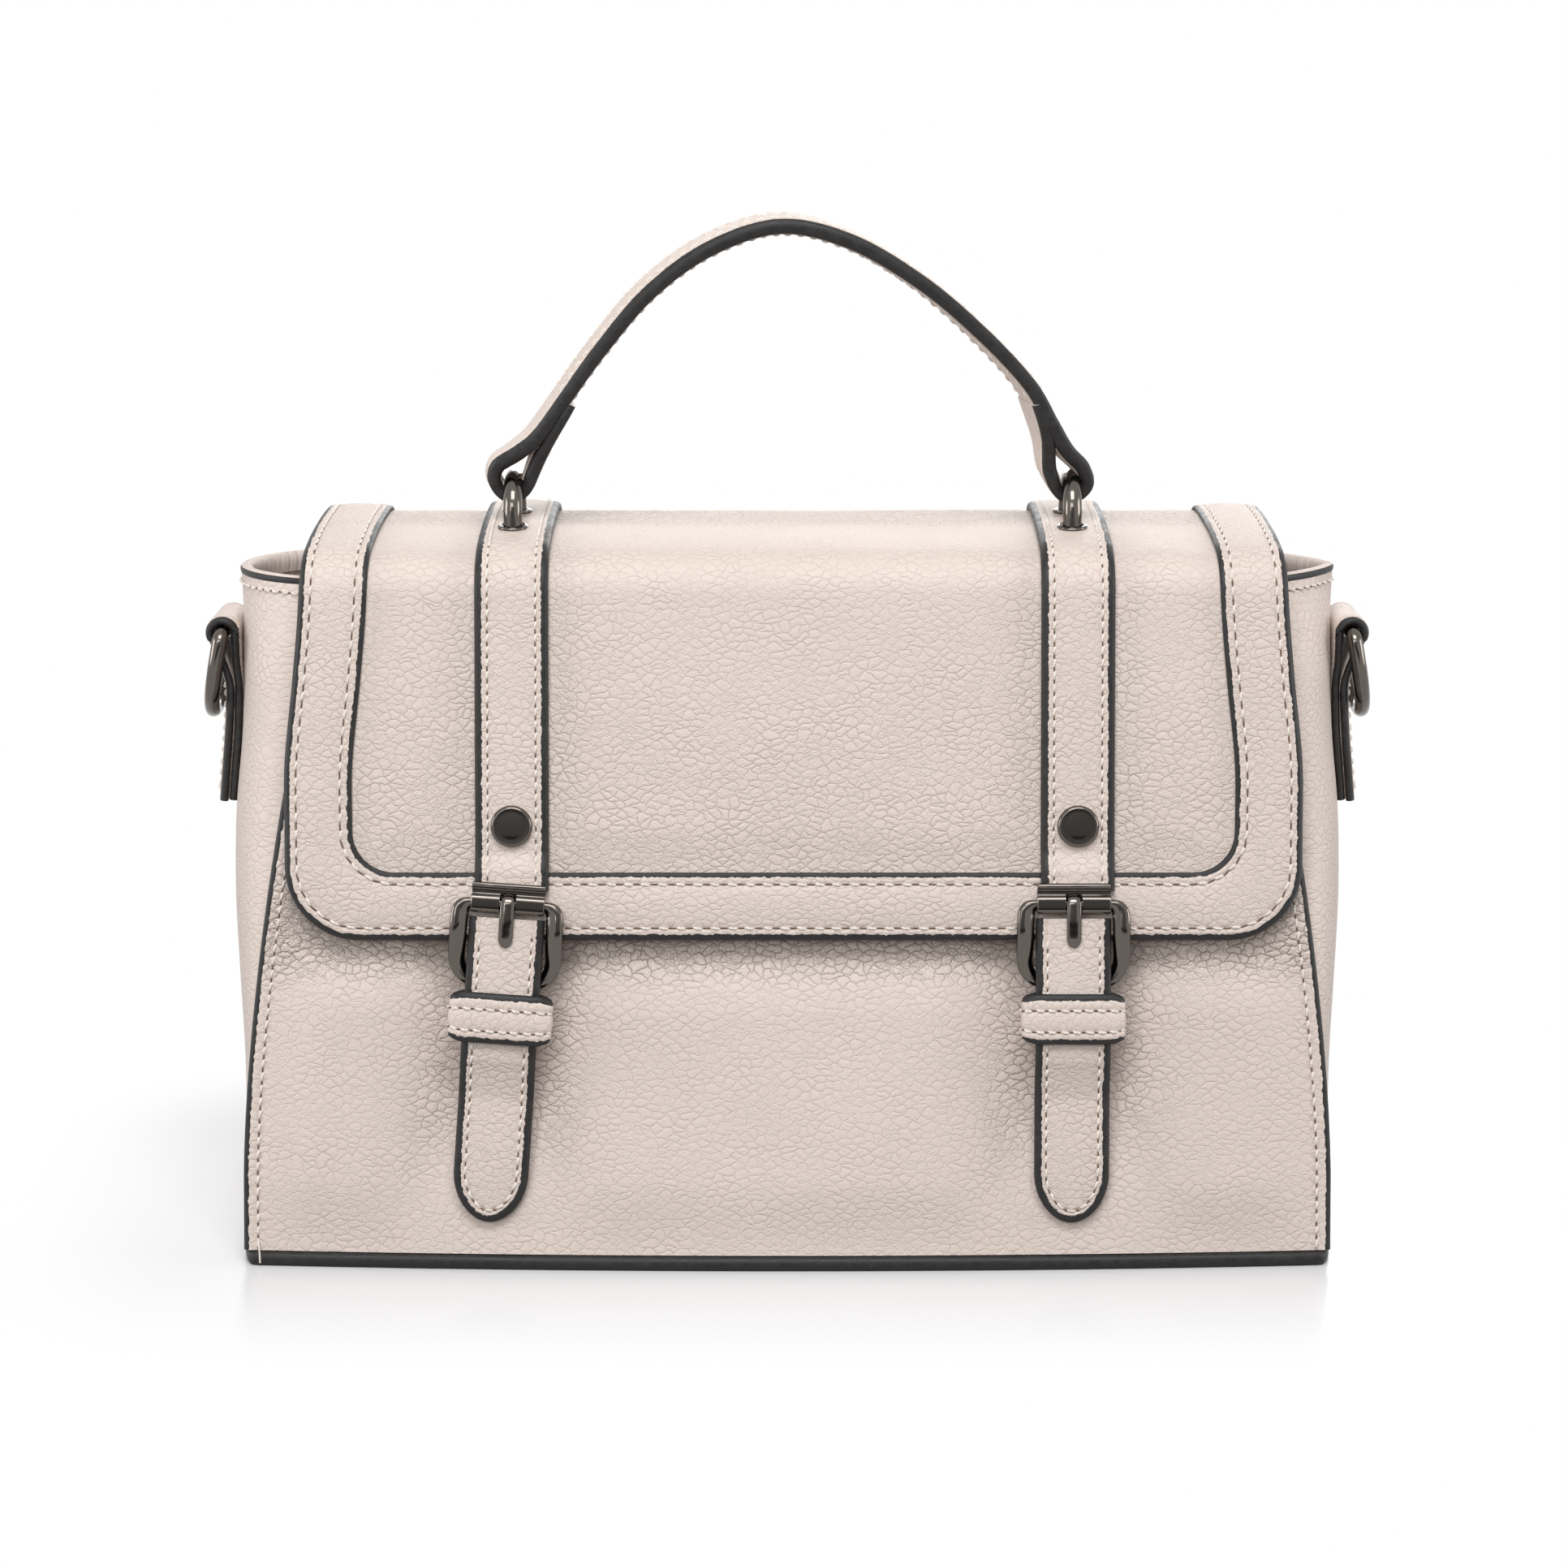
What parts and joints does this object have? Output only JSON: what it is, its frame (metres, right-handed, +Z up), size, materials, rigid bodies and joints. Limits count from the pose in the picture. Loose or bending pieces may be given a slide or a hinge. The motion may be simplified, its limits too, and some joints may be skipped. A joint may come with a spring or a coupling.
{
  "type": "crossbody bag",
  "caption": "Structured leather box bag with a hinged flap, buckled straps, a top handle on metal staples and a D-ring on each side.",
  "frame": {"origin": "middle of the base, on the surface that the bag stands on", "axes": "+Z up, +X to the right as the front is seen, +Y towards the back; the flap's buckles face -Y"},
  "size_m": [0.2902, 0.1161, 0.2501],
  "materials": {
    "leather": "pebbled, semi matt",
    "lining": "soft suede cloth",
    "edge_ink": "black painted edge",
    "board": "plain fibre board",
    "gunmetal": "polished dark gunmetal"
  },
  "bodies": {
    "bag": {"front_panel": "leather", "back_panel": "leather", "left_gusset": "leather", "right_gusset": "leather", "base_panel": "edge_ink", "base_board": "board", "lining": "lining", "hinge_band": "leather", "left_tab": "leather", "right_tab": "leather", "left_snap_socket": "gunmetal", "right_snap_socket": "gunmetal"},
    "flap": {"flap_panel": "leather", "flap_lining": "lining", "flap_trim": "leather", "left_upper_strap": "leather", "right_upper_strap": "leather", "left_rivet": "gunmetal", "right_rivet": "gunmetal", "left_clamp": "gunmetal", "right_clamp": "gunmetal", "left_staple": "gunmetal", "right_staple": "gunmetal", "left_front_washer": "gunmetal", "left_rear_washer": "gunmetal", "right_front_washer": "gunmetal", "right_rear_washer": "gunmetal"},
    "handle": {"handle": "leather"},
    "left_strap_end": {"left_buckle_frame": "gunmetal", "left_lower_strap": "leather", "left_keeper": "leather", "left_snap_stud": "gunmetal"},
    "right_strap_end": {"right_buckle_frame": "gunmetal", "right_lower_strap": "leather", "right_keeper": "leather", "right_snap_stud": "gunmetal"},
    "left_prong": {"left_prong": "gunmetal"},
    "right_prong": {"right_prong": "gunmetal"},
    "left_ring": {"left_d_ring": "gunmetal"},
    "right_ring": {"right_d_ring": "gunmetal"}
  },
  "joints": [
    {"name": "flap_lift", "type": "hinge", "parent": "bag", "child": "flap", "pos_m": [0, 0.0304, 0.1675], "axis": [-1, 0, 0], "range_deg": [0, 160]},
    {"name": "handle_tilt", "type": "hinge", "parent": "flap", "child": "handle", "pos_m": [0, -0.004, 0.17795], "axis": [1, 0, 0], "range_deg": [-27, 17]},
    {"name": "left_strap_lift", "type": "hinge", "parent": "flap", "child": "left_strap_end", "pos_m": [-0.0672, -0.04788, 0.08883], "axis": [-0.9976, 0.0111, 0.0689], "range_deg": [0, 50]},
    {"name": "right_strap_lift", "type": "hinge", "parent": "flap", "child": "right_strap_end", "pos_m": [0.0689, -0.04788, 0.08883], "axis": [-1, 0, 0], "range_deg": [0, 50]},
    {"name": "left_prong_lift", "type": "hinge", "parent": "left_strap_end", "child": "left_prong", "pos_m": [-0.0672, -0.04788, 0.08883], "axis": [-0.9976, 0.0111, 0.0689], "range_deg": [0, 40]},
    {"name": "right_prong_lift", "type": "hinge", "parent": "right_strap_end", "child": "right_prong", "pos_m": [0.0689, -0.04788, 0.08883], "axis": [-1, 0, 0], "range_deg": [0, 40]},
    {"name": "left_ring_swing", "type": "hinge", "parent": "bag", "child": "left_ring", "pos_m": [-0.1394, 0, 0.1487], "axis": [0, 1, 0], "range_deg": [0, 150]},
    {"name": "right_ring_swing", "type": "hinge", "parent": "bag", "child": "right_ring", "pos_m": [0.1394, 0, 0.1487], "axis": [0, -1, 0], "range_deg": [0, 150]}
  ]
}
